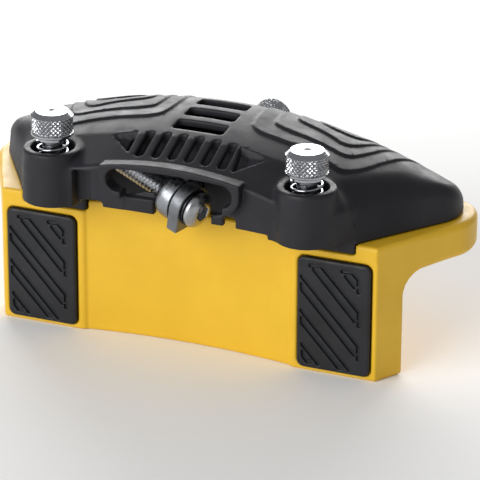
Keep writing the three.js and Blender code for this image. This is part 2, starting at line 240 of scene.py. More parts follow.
def outline_distance(points, x, y):
    """Signed distance to a closed outline."""
    closed = points + points[:1]
    inside = np.zeros(np.broadcast_shapes(x.shape, y.shape), bool)
    for (ax, ay), (bx, by) in zip(closed, closed[1:]):
        if ay != by:
            crossing = ax + (y - ay) * (bx - ax) / (by - ay)
            inside ^= ((ay > y) != (by > y)) & (x < crossing)
    nearest = line_distance(closed, x, y)
    return np.where(inside, -nearest, nearest)


def grid(low, high, step):
    """Coordinates of a grid's points, ready to be combined."""
    x, y, z = (np.arange(a - 2 * step, b + 2 * step, step) for a, b in zip(low, high))
    return x[:, None, None], y[None, :, None], z[None, None, :]


def sampled(values, places):
    """A grid's values between its points."""
    whole = np.clip(np.floor(places).astype(int), 0, np.array(values.shape) - 2)
    part = places - whole
    total = np.zeros(len(places))
    for corner in np.ndindex(2, 2, 2):
        share = np.prod(np.where(corner, part, 1 - part), axis=1)
        total += share * values[tuple((whole + corner).T)]
    return total


def field_piece(name, field, coordinates, adaptivity=0.0):
    """The surface of a distance field as a mesh object with smooth normals."""
    x, y, z = (axis.ravel() for axis in coordinates)
    step = x[1] - x[0]
    values = np.ascontiguousarray(np.broadcast_to(field, (len(x), len(y), len(z))), np.float32)
    volume = openvdb.FloatGrid()
    volume.background = 10.0
    volume.copyFromArray(values)
    places, triangles, quads = volume.convertToPolygons(0.0, adaptivity)
    slopes = [sampled(slope, places) for slope in np.gradient(values)]
    normals = np.stack(slopes, 1)
    normals /= np.linalg.norm(normals, axis=1, keepdims=True) + 1e-9
    points = places * step + (x[0], y[0] + GUIDE_Y, z[0])
    faces = [tuple(map(int, face)) for face in quads] + [tuple(map(int, face)) for face in triangles]
    first = points[[face[0] for face in faces]]
    second = points[[face[1] for face in faces]]
    third = points[[face[2] for face in faces]]
    volume_sign = np.einsum("ij,ij->", first, np.cross(second, third))
    if volume_sign < 0:
        faces = [face[::-1] for face in faces]
    mesh = bpy.data.meshes.new(name)
    mesh.from_pydata((points * MM).tolist(), [], faces)
    mesh.polygons.foreach_set("use_smooth", [True] * len(faces))
    mesh.normals_split_custom_set_from_vertices(normals.tolist())
    return add_object(name, mesh)


def add_object(name, mesh):
    obj = bpy.data.objects.new(name, mesh)
    bpy.context.scene.collection.objects.link(obj)
    return obj


# ---- turned and swept metal ----

def along(axis, at):
    """A place on a turned piece's axis: z of the piece runs along axis."""
    turn = Vector((0, 0, 1)).rotation_difference(Vector(axis)).to_matrix().to_4x4()
    return Matrix.Translation(Vector(at) + Vector((0, GUIDE_Y, 0))) @ turn


def upright(low, high):
    """The vertical axis through the middle of a CAD node's box."""
    middle = (low + high) / 2
    return along((0, 0, 1), (middle[0], middle[1], 0))


def turned(name, rows, place, sides=64, smooth_angle=32):
    """A closed piece of revolution. A row is (radius, height); either may be a function of the angle.

    A row of radius 0 closes an end; without such rows the last row meets the first.
    """
    shape = bmesh.new()
    angles = [2 * math.pi * i / sides for i in range(sides)]
    rings = []
    for radius, height in rows:
        if isinstance(radius, (int, float)) and radius == 0:
            rings.append([shape.verts.new((0, 0, height))])
            continue
        ring = []
        for angle in angles:
            r = radius(angle) if callable(radius) else radius
            h = height(angle) if callable(height) else height
            ring.append(shape.verts.new((r * math.cos(angle), r * math.sin(angle), h)))
        rings.append(ring)
    pairs = list(zip(rings, rings[1:]))
    if len(rings[0]) > 1:
        pairs.append((rings[-1], rings[0]))
    for lower, upper in pairs:
        for i in range(sides):
            j = (i + 1) % sides
            corners = [lower[i % len(lower)], lower[j % len(lower)],
                       upper[j % len(upper)], upper[i % len(upper)]]
            corners = list(dict.fromkeys(corners))
            if len(corners) > 2:
                shape.faces.new(corners)
    bmesh.ops.recalc_face_normals(shape, faces=shape.faces)
    shape.transform(Matrix.Scale(MM, 4) @ place)
    mesh = bpy.data.meshes.new(name)
    shape.to_mesh(mesh)
    shape.free()
    finish_mesh(mesh, smooth_angle)
    return add_object(name, mesh)


def finish_mesh(mesh, smooth_angle=32):
    mesh.polygons.foreach_set("use_smooth", [True] * len(mesh.polygons))
    mesh.set_sharp_from_angle(angle=math.radians(smooth_angle))


def knurl_rows(radius, start, end, teeth=28, depth=0.5, step=0.14):
    """Rows of a diamond knurl: two sets of crossing grooves that fade out at both ends."""
    pitch = 2 * math.pi * radius / teeth
    rows = []
    count = round((end - start) / step)
    for k in range(count + 1):
        height = start + (end - start) * k / count
        fade = min(1, (height - start) / 0.25, (end - height) / 0.25)

        def groove(angle, height=height, fade=fade):
            turn = angle * teeth / (2 * math.pi)
            rise = (height - start) / pitch
            crossing = max(abs((turn + rise) % 1 - 0.5), abs((turn - rise) % 1 - 0.5)) * 2
            return radius - depth * fade * crossing
        rows.append((groove, height))
    return rows


def thread_rows(radius, start, end, pitch=1.0, depth=0.55):
    """Rows of a screw thread between two heights."""
    rows = []
    count = round((end - start) / pitch * 8)
    for k in range(count + 1):
        height = start + (end - start) * k / count
        fade = min(1, (height - start) / pitch + 0.2, (end - height) / pitch + 0.2)

        def crest(angle, height=height, fade=fade):
            phase = (height / pitch - angle / (2 * math.pi)) % 1
            return radius - depth * fade * min(1, max(0, 2.3 * abs(phase - 0.5) - 0.08))
        rows.append((crest, height))
    return rows


def hexagon(across_flats):
    """Radius of a hexagon at an angle."""
    def radius(angle):
        return across_flats / 2 / math.cos((angle + math.pi / 6) % (math.pi / 3) - math.pi / 6)
    return radius


def arc_rows(middle_radius, middle_height, radius, start, end, steps=5):
    """Rows around a rounded edge, from one angle to another, in degrees."""
    angles = np.radians(np.linspace(start, end, steps + 1))
    return [(middle_radius + radius * math.cos(a), middle_height + radius * math.sin(a)) for a in angles]


def combined(name, first, second, operation="UNION"):
    """The first object joined with or cut by the second, which is used up."""
    change = first.modifiers.new("combine", "BOOLEAN")
    change.operation = operation
    change.object = second
    change.solver = "EXACT"
    bpy.context.view_layer.update()
    mesh = bpy.data.meshes.new_from_object(first.evaluated_get(bpy.context.evaluated_depsgraph_get()))
    for used in (first, second):
        bpy.data.objects.remove(used)
    finish_mesh(mesh)
    return add_object(name, mesh)


# ---- base ----

def tongues(x, y, z, clearance):
    """The cover's tongues, which are let into the guide leg's top edge."""
    middle, half_width = (TONGUE_START + TONGUE_END) / 2, (TONGUE_END - TONGUE_START) / 2
    plan = rectangle(np.abs(x) - middle, z - TONGUE_BOTTOM - 6, half_width + clearance, 6 + clearance,
                     0.8 + clearance)
    return np.maximum(plan, between(-2 * clearance, TONGUE_DEPTH + clearance, y))


def make_base():
    x, y, z = grid(BASE_LOW, BASE_HIGH, 0.4)
    underside = PLATE_TOP - PLATE_THICKNESS
    plate = underside - z + 0 * y
    leg = y - LEG_THICKNESS + 0 * z
    section = meet(join(plate, leg, CORNER_FILLET), between(0, PLATE_TOP, z), 1.0)
    rounding = 0.8 + 1.2 * ease(8, 26, y)
    base = meet(outline_distance(base_outline(), x, y), section, rounding)
    pocket = rectangle(np.abs(x) - PAD_MIDDLE[0], z - PAD_MIDDLE[2], (PAD_HIGH - PAD_LOW)[0] / 2 + GAP,
                       (PAD_HIGH - PAD_LOW)[2] / 2 + GAP, PAD_CORNER + GAP)
    base = cut(base, np.maximum(pocket, y - PAD_POCKET), 0.35)
    base = cut(base, tongues(x, y, z, GAP), 0.25)
    for hole_x, hole_y in COVER_SCREWS.values():
        reach = np.hypot(x - hole_x, y - hole_y)
        base = cut(base, reach - SCREW_HOLE_RADIUS)
        base = cut(base, np.maximum(reach - SCREW_HEAD_HOLE_RADIUS, z - SCREW_HEAD_HOLE_TOP), 0.4)
    return field_piece("base", base, (x, y, z), 0.02)


def pad_grooves():
    """Grooves of a pad, as lines across its width and down its height, both from 0 to 1."""
    return [
        [(0.18, 0.07), (0.33, 0.06), (0.855, 0.42), (0.855, 0.54)],
        [(0.23, 0.10), (0.80, 0.505)],
        [(0.62, 0.076), (0.75, 0.07), (0.845, 0.13), (0.845, 0.24)],
        [(0.67, 0.115), (0.79, 0.20)],
        [(0.064, 0.18), (0.853, 0.727), (0.853, 0.846)],
        [(0.064, 0.25), (0.072, 0.30), (0.80, 0.81)],
        [(0.064, 0.49), (0.735, 0.957)],
        [(0.072, 0.557), (0.072, 0.60), (0.584, 0.952), (0.634, 0.948)],
        [(0.08, 0.797), (0.30, 0.95)],
        [(0.09, 0.862), (0.097, 0.906), (0.148, 0.945), (0.206, 0.94)],
    ]


def make_pad(name):
    low, high = extent(name)
    x, y, z = grid(low, high, 0.16)
    width, depth, height = high - low
    middle = (low + high) / 2
    plan = rectangle(x - middle[0], z - middle[2], width / 2, height / 2, PAD_CORNER)
    pad = meet(plan, between(low[1], high[1], y), 0.45)
    for line in pad_grooves():
        places = [(low[0] + u * width, high[2] - v * height) for u, v in line]
        groove = np.maximum(line_distance(places, x, z) - 0.58, y - low[1] - 0.8)
        pad = cut(pad, groove, 0.1)
    return field_piece("pad_" + name.rsplit("_", 1)[1], pad, (x, y, z), 0.05)


# ---- cover ----

def dome(x, y):
    """Height of the palm rest."""
    slope = 0.44 * np.maximum(0, FRONT_SLOPE_Y - y)
    crown = 0.005 * np.maximum(0, DOME_TOP_Y - np.maximum(y, FRONT_SLOPE_Y)) ** 2
    back = np.maximum(0, y - DOME_TOP_Y) ** 2 / (2 * BACK_RADIUS)
    return DOME_TOP - slope - crown - back - x**2 / (2 * ARCH_RADIUS)


def terrace_lines():
    """Front edges of the four nested steps on the palm rest's right half."""
    return [
        [(12, 44), (12, 20), (14.5, 12.8), (28, 11.8), (39, 9.6),
         (43.8, 7.8), (48.5, 13), (52, 23), (56, 33), (60, 44)],
        [(17.3, 44), (17.3, 22.5), (19.5, 18.6), (34.5, 17.3), (42.5, 15.2),
         (46.4, 21.7), (49.5, 31), (54, 44)],
        [(21.5, 44), (21.5, 28.5), (24, 26), (33, 24), (40.4, 20.5), (46, 30), (50, 44)],
        [(26, 44), (26, 31), (40, 27.5), (44, 33), (47, 44)],
    ]


def terraces(x, y):
    """Saw-tooth steps that rise sharply at their front edge and sink back to the dome."""
    side = np.abs(x)
    inside = [-outline_distance(softened(line), side, y) for line in terrace_lines()]
    inside.append(inside[-1] - 7)
    height = 0
    for edge, next_edge in zip(inside, inside[1:]):
        share = np.clip(edge / np.maximum(edge - next_edge, 0.1), 0, 1)
        height = height + ease(0, 0.5, edge) * (1 - share) * (next_edge < 0) * 0.6
    return height * (1 - ease(30, 40, y))


def side_triangles(x, y):
    """Depth of the three-cornered hollows at both ends of the front slots, deepest beside the slots."""
    left = outline_distance([(-23.4, 2.5), (-16.3, 4.2), (-15.9, -3.8)], x, y)
    right = outline_distance([(14.9, 4.1), (24.2, 2.6), (16.2, -5.1)], x, y)
    floor = 0.36 * np.clip(24 - np.abs(x), 0, 8)
    return np.where(np.minimum(left, right) < 0, np.minimum(floor, -4 * np.minimum(left, right)), 0)


def make_cover():
    low, high = extent("handle_cover")
    x, y, z = grid(low, high, 0.34)
    rim = outline_distance(cover_outline(), x, y)
    far_end = ease(56, 66, np.abs(x))
    lean = FLANK_LEAN * ease(-4, 4, y) * (1 - 0.7 * ease(24, 34, y)) * (1 - 0.6 * far_end)
    side_wall = (rim + lean * (z - PLATE_TOP)) / np.sqrt(1 + lean**2)
    height = dome(x, y)
    steep = np.sqrt(1 + sum(slope**2 for slope in np.gradient(height[:, :, 0], 0.34)))[:, :, None]
    skin = (z - height) / steep
    detailed_skin = (z - height - terraces(x, y) + side_triangles(x, y)) / steep
    edge = 0.8 + 3.7 * ease(-6, 5, y) - 1.5 * far_end
    outside = meet(detailed_skin, side_wall, edge)
    cover = np.maximum(outside, -np.maximum(skin, side_wall) - SHELL)

    for hole_x, hole_y in COVER_SCREWS.values():
        post = np.hypot(x - hole_x, y - hole_y) - POST_RADIUS
        cover = np.minimum(cover, np.maximum(post, outside + 1))
    shank_reach = np.hypot(x, z - AXIS_Z)
    rear_boss = np.maximum(shank_reach - REAR_BOSS_RADIUS, between(REAR_BOSS_START, REAR_WALL, y))
    cover = join(cover, rear_boss, 1.5)
    cover = np.minimum(cover, shank_guide(x, y, z, outside))
    cover = cut(cover, wall_opening(x, y, z), 0.3)
    pocket, pocket_back = left_pocket(x, y, z)
    cover = np.minimum(cut(cover, pocket, 0.3), pocket_back)

    reach = np.hypot(np.abs(x) - BOSS_X, y - BOSS_Y)
    boss = meet(reach - BOSS_RADIUS + 0.02 * (z - EDGE_PLANE), z - BOSS_TOP, 0.8)
    boss = meet(boss, EDGE_PLANE - z, 0.4)
    cover = join(cover, boss, 1.2)
    cover = cut(cover, np.maximum(y + GAP, z - EDGE_PLANE), 0.3)
    apron_gap = np.maximum(np.abs(x) - APRON_HALF_LENGTH, z - APRON_BOTTOM)
    cover = cut(cover, np.maximum(np.maximum(apron_gap, y + GAP), GAP - boss), 0.3)
    cover = meet(cover, PLATE_TOP + GAP - z, 0.3)
    cover = np.minimum(cover, np.maximum(tongues(x, y, z, 0), z - TONGUE_TOP))
    cover = join(cover, bracket(x, y, z), 0.3)

    cover = cut(cover, np.maximum(reach - INSERT_RADIUS, y + GAP), 0.3)
    cover = cut(cover, np.maximum(reach - COUNTERBORE_RADIUS, COUNTERBORE_FLOOR - z), 0.5)
    for hole_x, hole_y in COVER_SCREWS.values():
        hole = np.hypot(x - hole_x, y - hole_y) - SCREW_HOLE_RADIUS
        cover = cut(cover, np.maximum(hole, z - SCREW_HOLE_TOP))
    cover = cut(cover, np.maximum(shank_reach - BUSH_BORE_RADIUS, REAR_BOSS_START - y))
    cover = cut(cover, holder_slot(x, y, z), 0.3)
    cover = cut(cover, notches(x, y, z), 0.3)
    cover = cut(cover, vents(x, y, z), 0.4)
    return field_piece("cover", cover, (x, y, z), 0.02)


def shank_guide(x, y, z, outside):
    """A cross wall behind the cutter, with a stepped boss for the holder's shank."""
    front, back = 5.2, 13
    narrow_radius, wide_radius = 8.5, 10.8
    wall_half_length, wall_thickness = 27, 1.6
    reach = np.hypot(x, z - AXIS_Z)
    narrow = meet(reach - narrow_radius, between(front, back, y), 0.4)
    wide = meet(reach - wide_radius, between(front + 1.5, back, y), 0.4)
    cross_wall = np.maximum(np.abs(x) - wall_half_length, between(front, front + wall_thickness, y))
    guide = np.maximum(join(np.minimum(narrow, wide), cross_wall, 0.5), outside + 1)
    return cut(guide, reach - SCREW_RADIUS - GAP, 0.5)


def wall_opening(x, y, z):
    """The way out for the holder and the blade screw, through the front wall."""
    half_length = 16.8
    gap_left, gap_right = -6, 11.6          # between them the wall is open at the bottom
    left_sill = np.minimum(47 + 0.32 * (x + half_length), 49.4)
    right_sill = 46 + 0.25 * (x - gap_right)
    sill = np.where(x < gap_left, left_sill, np.where(x < gap_right, EDGE_PLANE - 2, right_sill))
    head = 56.3 - ease(8.5, half_length, np.abs(x))
    opening = np.maximum(np.abs(x) - half_length, between(sill, head, z))
    return np.maximum(opening, between(-10, -4, y))


def left_pocket(x, y, z):
    """A deep hollow in the front wall beside the left boss, open at the bottom, and its back wall."""
    hollow = rectangle(x + 27.7, z - 46.8, 2.7, 6.8, 0.6)
    front = -6.2
    plate = np.maximum(between(-31.5, -24, x), between(APRON_BOTTOM, 54.5, z))
    return np.maximum(hollow, between(-20, front, y)), np.maximum(plate, between(front, front + 1.8, y))


def bracket(x, y, z):
    """The arched front that carries the holder's slot."""
    corner = LOBE_RADIUS + BRACKET_BAND
    lower = meet(np.abs(x) - LOBE_X - corner, LOBE_Z - corner - z, corner)
    top = z - BRACKET_TOP + BRACKET_ARCH * x**2
    return meet(meet(lower, top, 0.25), between(BRACKET_FRONT, BRACKET_BACK, y), 0.25)


def holder_slot(x, y, z):
    """The holder's slot: round at both ends, a little higher in the middle, and open at the bottom.

    Below the bracket's round ends it stops in front of the cover's front wall.
    """
    rise = 0.5 * (1 - np.minimum(np.abs(x) / LOBE_X, 1) ** 2) * ease(LOBE_Z, LOBE_Z + LOBE_RADIUS, z)
    slot = np.hypot(np.maximum(np.abs(x) - LOBE_X, 0), z - rise - LOBE_Z) - LOBE_RADIUS
    opening = np.maximum(between(-ARM_END_LEFT, ARM_END_RIGHT, x), z - LOBE_Z)
    lobe_bottom = LOBE_Z - LOBE_RADIUS - BRACKET_BAND - 0.2
    wall_front = -8.8
    opening = np.maximum(opening, y - np.where(z < lobe_bottom, wall_front, BRACKET_BACK))
    return np.minimum(np.maximum(slot, between(-20, -4, y)), opening)


def notches(x, y, z):
    """Two reliefs in the lower edge of the front wall."""
    left = rectangle(x + 24.1, z - EDGE_PLANE + 3, 2.6, 6.0, 1.2)
    right = rectangle(x - 17.15, z - EDGE_PLANE + 2, 1.95, 6.4, 1.2)
    return np.maximum(np.minimum(left, right), between(-20, -GAP, y))


def vents(x, y, z):
    """Three wide vents across the top and six finger slots down the front slope."""
    openings = [rectangle(x, y - middle, 7.7, 2.6, 1.0) for middle in (10.3, 18.6, 26.9)]
    openings += [rectangle(x - 5.03 * (i - 2.45), y, 1.3, 4.9, 1.2) for i in range(6)]
    holes = openings[0]
    for opening in openings[1:]:
        holes = np.minimum(holes, opening)
    return np.maximum(holes, 55.5 - z)


# ---- depth screws ----

def knurled_head(start, end):
    """Rows of a knurled head, from its underside to its top edge."""
    rows = arc_rows(HEAD_RADIUS - 0.3, start + 0.3, 0.3, -90, 0, 3)
    rows += [(HEAD_RADIUS - 0.02, start + 0.62)]
    rows += knurl_rows(HEAD_RADIUS, start + 0.7, end - 1.2)
    rows += [(HEAD_RADIUS - 0.12, end - 1.12), (4.76, end - 0.06), (4.68, end)]
    return rows


def centre_mark(top):
    """Rows of the small dimple that turning leaves in the middle of a head."""
    return [(1.2, top), (1.0, top - 0.25), (0, top - 0.45)]


def make_depth_screw(name):
    low, high = extent(name)
    tip = low[2]
    rows = [(0, tip), (1.8, tip), (2, tip + 0.2), (2, tip + 2)]
    rows += thread_rows(SCREW_RADIUS, tip + 2.2, 56)
    head, collar = high[2] - HEAD_HEIGHT, 4.4
    rows += [(2.9, 56.2), (2.9, 60.1), (collar - 0.2, 60.1), (collar, 60.3)]
    rows += [(collar, head - 0.1), (collar - 0.3, head)]
    rows += knurled_head(head, high[2])
    rows += centre_mark(high[2])
    return turned(name.replace("depth_screw", "screw"), rows, upright(low, high), 304)


def make_spring(name):
    """A coil of round wire that starts and ends flat."""
    low, high = extent(name)
    wire = 0.4
    mean_radius = float(high[0] - low[0]) / 2 - wire
    middle = (low + high) / 2
    bottom, top = low[2] + wire, high[2] - wire
    turns, around, steps = 3.6, 12, 40
    count = round(turns * steps)
    shape = bmesh.new()
    rings = []
    for k in range(count + 1):
        turn = turns * k / count
        share = min(1, max(0, (turn - 0.3) / (turns - 0.6)))
        closed = 0.9 * wire * (min(turn, 0.3) + max(0, turn - turns + 0.3)) / 0.3
        height = bottom + closed + (top - bottom - 1.8 * wire) * share
        angle = 2 * math.pi * turn
        outward = Vector((math.cos(angle), math.sin(angle), 0))
        centre = Vector((middle[0], middle[1] + GUIDE_Y, height)) + mean_radius * outward
        ring = []
        for i in range(around):
            spin = 2 * math.pi * i / around
            offset = math.cos(spin) * outward + Vector((0, 0, math.sin(spin)))
            ring.append(shape.verts.new(centre + wire * offset))
        rings.append(ring)
    for lower, upper in zip(rings, rings[1:]):
        for i in range(around):
            j = (i + 1) % around
            shape.faces.new((lower[i], lower[j], upper[j], upper[i]))
    shape.faces.new(rings[0])
    shape.faces.new(rings[-1])
    bmesh.ops.recalc_face_normals(shape, faces=shape.faces)
    shape.transform(Matrix.Scale(MM, 4))
    mesh = bpy.data.meshes.new(name)
    shape.to_mesh(mesh)
    shape.free()
    finish_mesh(mesh, 50)
    return add_object(name.replace("depth_spring", "spring"), mesh)


def make_insert(name):
    low, high = extent(name)
    outer = (high[0] - low[0]) / 2
    bore = SCREW_RADIUS + GAP
    rows = [(bore + 0.3, low[2]), (outer - 0.3, low[2]), (outer, low[2] + 0.3)]
    rows += knurl_rows(outer, low[2] + 0.4, high[2] - 0.8, 48, 0.2, 0.25)
    rows += [(outer, high[2] - 0.3), (outer - 0.3, high[2]), (bore + 0.3, high[2])]
    rows += [(bore, high[2] - 0.3), (bore, low[2] + 0.3)]
    return turned(name.replace("thread_insert", "insert"), rows, upright(low, high), 144)


def make_foot(name):
    low, high = extent(name)
    outer = (high[0] - low[0]) / 2
    rows = [(0, low[2])]
    rows += arc_rows(outer - 0.8, low[2] + 0.8, 0.8, -90, 0)
    rows += arc_rows(outer - 0.25, high[2] - 0.25, 0.25, 0, 90, 3)
    rows += [(2.5, high[2]), (2.3, high[2] - 0.2), (2.3, high[2] - 2), (0, high[2] - 2)]
    return turned(name.replace("depth_foot", "foot"), rows, upright(low, high), 96)


# ---- cutter ----

HOLDER_BACK, HOLDER_FRONT = -3.7, 2.4       # ends of its barrel, along the cutter's axis
HOLDER_RADIUS = 6.6
BLADE_START = HOLDER_FRONT + GAP
BLADE_THICKNESS = 3.8
BLADE_RADIUS = 6.2
BLADE_TILT = 38.0
WASHER_START = BLADE_START + BLADE_THICKNESS + GAP
WASHER_THICKNESS = 0.5
HEAD_START = WASHER_START + WASHER_THICKNESS + GAP
STUD_LENGTH = 22.0
CUTTER_PLACE = along(CUTTER_AXIS, (0, HOLDER_Y, AXIS_Z))


def make_holder():
    """An eye on the cutter's axis with the shank that runs to the rear knob."""
    bore = SCREW_RADIUS + GAP
    corner = HOLDER_RADIUS - bore - 0.1         # so large that the back is nearly half a ball
    rows = arc_rows(HOLDER_RADIUS - corner, HOLDER_BACK + corner, corner, -88, 0, 12)
    front = BLADE_START - 0.1
    rows += arc_rows(HOLDER_RADIUS - 0.2, front - 0.2, 0.2, 0, 90, 3)
    rows += [(bore + 0.3, front), (bore, front - 0.3), (bore, HOLDER_BACK + 0.1)]
    eye = turned("eye", rows, CUTTER_PLACE, 128)
    start, end = HOLDER_Y + 4.5, extent("blade_holder")[1][1]
    rows = [(0, start), (SCREW_RADIUS, start), (SCREW_RADIUS, 38)]
    rows += thread_rows(SCREW_RADIUS, 38.2, end - 0.5)
    rows += [(2.4, end), (0, end)]
    shank = turned("shank", rows, along((0, 1, 0), (0, 0, AXIS_Z)), 96)
    return combined("holder", eye, shank)


def make_blade():
    """Round, with one square corner and ground edges."""
    corner_angle = math.atan2(*reversed(blade_corner_direction()))

    def outline(inset):
        def radius(angle):
            off = abs((angle - corner_angle + math.pi) % (2 * math.pi) - math.pi)
            reach = BLADE_RADIUS / math.cos(max(0, math.pi / 4 - off))
            return reach - inset
        return radius
    bore = SCREW_RADIUS + GAP
    start, end = BLADE_START, BLADE_START + BLADE_THICKNESS
    rows = [(bore + 0.35, start), (outline(0.4), start), (outline(0.1), start + 0.15),
            (outline(0), start + 0.3), (outline(0), end - 0.25), (outline(0.2), end),
            (bore + 0.35, end), (bore, end - 0.35), (bore, start + 0.35)]
    return turned("cutting_blade", rows, CUTTER_PLACE, 128, 20)


def blade_corner_direction():
    """Where the blade's corner points, across the cutter's axis, in the turned piece's own x and y."""
    sideways = Vector((0, 0, 1)).cross(CUTTER_AXIS).normalized()
    upward = CUTTER_AXIS.cross(sideways)
    tilt = math.radians(BLADE_TILT)
    down = -math.sin(tilt) * sideways - math.cos(tilt) * upward
    local = CUTTER_PLACE.to_3x3().inverted() @ down
    return local.x, local.y


def make_blade_washer():
    bore = SCREW_RADIUS + GAP
    start, end = WASHER_START, WASHER_START + WASHER_THICKNESS
    outer = 5.4
    rows = [(bore, start), (outer - 0.1, start), (outer, start + 0.1),
            (outer, end - 0.1), (outer - 0.1, end), (bore, end)]
    return turned("shim_washer", rows, CUTTER_PLACE, 96)


def make_blade_screw():
    """A button-head screw with a hexagon socket and a long thread."""
    rim = 5.3
    rows = [(0, -STUD_LENGTH), (2.3, -STUD_LENGTH)]
    rows += thread_rows(SCREW_RADIUS, 0.6 - STUD_LENGTH, BLADE_START - 1, 1.25, 0.72)
    rows += [(2.9, BLADE_START - 0.8), (2.9, HEAD_START), (rim - 0.25, HEAD_START)]
    rows += arc_rows(rim - 0.2, HEAD_START + 0.2, 0.2, -90, 0, 2)
    for turn in np.radians(np.linspace(8, 62, 9)):
        rows.append((rim * math.cos(turn) + 0.25 * math.sin(turn), HEAD_START + 0.4 + 2.5 * math.sin(turn)))
    top = rows[-1][1]
    socket = hexagon(4.0)
    rows += [(lambda angle: socket(angle) + 0.22, top), (socket, top - 0.22), (socket, top - 1.9)]
    rows += [(lambda angle: 0.5 * socket(angle), top - 2.1), (0, top - 2.4)]
    return turned("clamp_bolt", rows, CUTTER_PLACE, 120)


# ---- rear adjuster and cover screws ----

SHANK_PLACE = along((0, 1, 0), (0, 0, AXIS_Z))


def make_guide_bush():
    low, high = extent("guide_bush")
    bore = SCREW_RADIUS + GAP
    flange = REAR_WALL + GAP
    sleeve, rim = 4.6, 6.4
    rows = [(bore + 0.2, low[1]), (sleeve - 0.2, low[1]), (sleeve, low[1] + 0.2), (sleeve, flange),
            (rim - 0.1, flange), (rim, flange + 0.1), (rim, high[1] - 0.15), (rim - 0.15, high[1]),
            (bore + 0.2, high[1]), (bore, high[1] - 0.2), (bore, low[1] + 0.2)]
    return turned("bush", rows, SHANK_PLACE, 96)


def make_thrust_washer():
    low, high = extent("thrust_washer")
    bore = SCREW_RADIUS + GAP
    outer = 6.0
    rows = [(bore, low[1]), (outer - 0.1, low[1]), (outer, low[1] + 0.1),
            (outer, high[1] - 0.1), (outer - 0.1, high[1]), (bore, high[1])]
    return turned("rear_washer", rows, SHANK_PLACE, 96)


def make_rear_knob():
    low, high = extent("rear_knob")
    bore = SCREW_RADIUS + GAP
    rows = [(bore, low[1])]
    rows += knurled_head(low[1], high[1])
    rows += centre_mark(high[1])
    rows = [(0, high[1] - 3), (bore, high[1] - 3)] + rows
    return turned("knurled_knob", rows, SHANK_PLACE, 304)


def make_cover_screw(name):
    """A pan-head screw with a cross recess, driven up from below."""
    low, high = extent(name)
    head = low[2]

    def recess(depth):
        def height(angle):
            cross = abs((angle + math.pi / 4) % (math.pi / 2) - math.pi / 4)
            return head + depth * max(0, 1 - cross * 3.2)
        return height
    rows = [(0, head + 1.2), (0.7, recess(1.1)), (1.3, recess(0.8)), (1.9, recess(0.3)), (2.2, head)]
    rows += arc_rows(2.6, head + 0.6, 0.6, -90, 0, 4)
    rows += [(3.2, head + 2.2), (1.5, head + 2.2)]
    rows += thread_rows(1.5, head + 3, high[2] - 1.5, 1.1, 0.35)
    rows += [(0.9, high[2] - 0.6), (0, high[2])]
    return turned(name.replace("cover_screw", "fixing"), rows, upright(low, high), 80)


# ---- materials ----

def srgb(red, green, blue):
    """A colour given as a painter sees it, as the linear values that a shader takes."""
    def linear(value):
        value /= 255
        return value / 12.92 if value <= 0.04045 else ((value + 0.055) / 1.055) ** 2.4
    return (linear(red), linear(green), linear(blue), 1)


class Finish:
    """A node material under construction."""

    def __init__(self, name, **sockets):
        self.material = bpy.data.materials.new(name)
        self.material.use_nodes = True
        self.nodes = self.material.node_tree.nodes
        self.links = self.material.node_tree.links
        self.shader = self.nodes["Principled BSDF"]
        for socket, value in sockets.items():
            self.shader.inputs[socket.replace("_", " ")].default_value = value
        self.place = self.nodes.new("ShaderNodeTexCoord").outputs["Object"]

    def stretched(self, x, y, z):
        mapping = self.nodes.new("ShaderNodeMapping")
        mapping.inputs["Scale"].default_value = (x, y, z)
        self.links.new(self.place, mapping.inputs["Vector"])
        return mapping.outputs["Vector"]

    def noise(self, size, detail=2.0, roughness=0.5, place=None):
        """Noise with features of about that size, in metres."""
        node = self.nodes.new("ShaderNodeTexNoise")
        node.inputs["Scale"].default_value = 1 / size
        node.inputs["Detail"].default_value = detail
        node.inputs["Roughness"].default_value = roughness
        self.links.new(place or self.place, node.inputs["Vector"])
        return node.outputs["Fac"]

    def ramp(self, source, stops, low=0.35, high=0.65):
        """Colours or greys spread over a source's values."""
        node = self.nodes.new("ShaderNodeValToRGB")
        elements = node.color_ramp.elements
        while len(elements) < len(stops):
            elements.new(0.5)
        for i, stop in enumerate(stops):
            elements[i].position = low + (high - low) * i / (len(stops) - 1)
            elements[i].color = stop if len(np.shape(stop)) else (stop, stop, stop, 1)
        self.links.new(source, node.inputs["Fac"])
        return node.outputs["Color"]

    def colour(self, source):
        self.links.new(source, self.shader.inputs["Base Color"])

    def roughness(self, source):
        self.links.new(source, self.shader.inputs["Roughness"])

    def bump(self, source, depth, strength=1.0, after=None):
        node = self.nodes.new("ShaderNodeBump")
        node.inputs["Distance"].default_value = depth
        node.inputs["Strength"].default_value = strength
        self.links.new(source, node.inputs["Height"])
        if after is not None:
            self.links.new(after, node.inputs["Normal"])
        self.links.new(node.outputs["Normal"], self.shader.inputs["Normal"])
        return node.outputs["Normal"]


def moulded(name, dark, light, rough, grain, scuffed, gloss):
    """Injection-moulded plastic: fine spark-eroded grain, faint flow clouds and a few rubbed patches."""
    look = Finish(name, Specular_IOR_Level=gloss)
    look.colour(look.ramp(look.noise(0.018, 3, 0.6), [dark, light]))
    look.roughness(look.ramp(look.noise(0.006, 6, 0.7), [rough - scuffed, rough, rough + scuffed]))
    waves = look.bump(look.noise(0.012, 2), 0.00012, 0.35)
    look.bump(look.noise(0.00045, 3, 0.6), 0.00006, grain, waves)
    return look.material


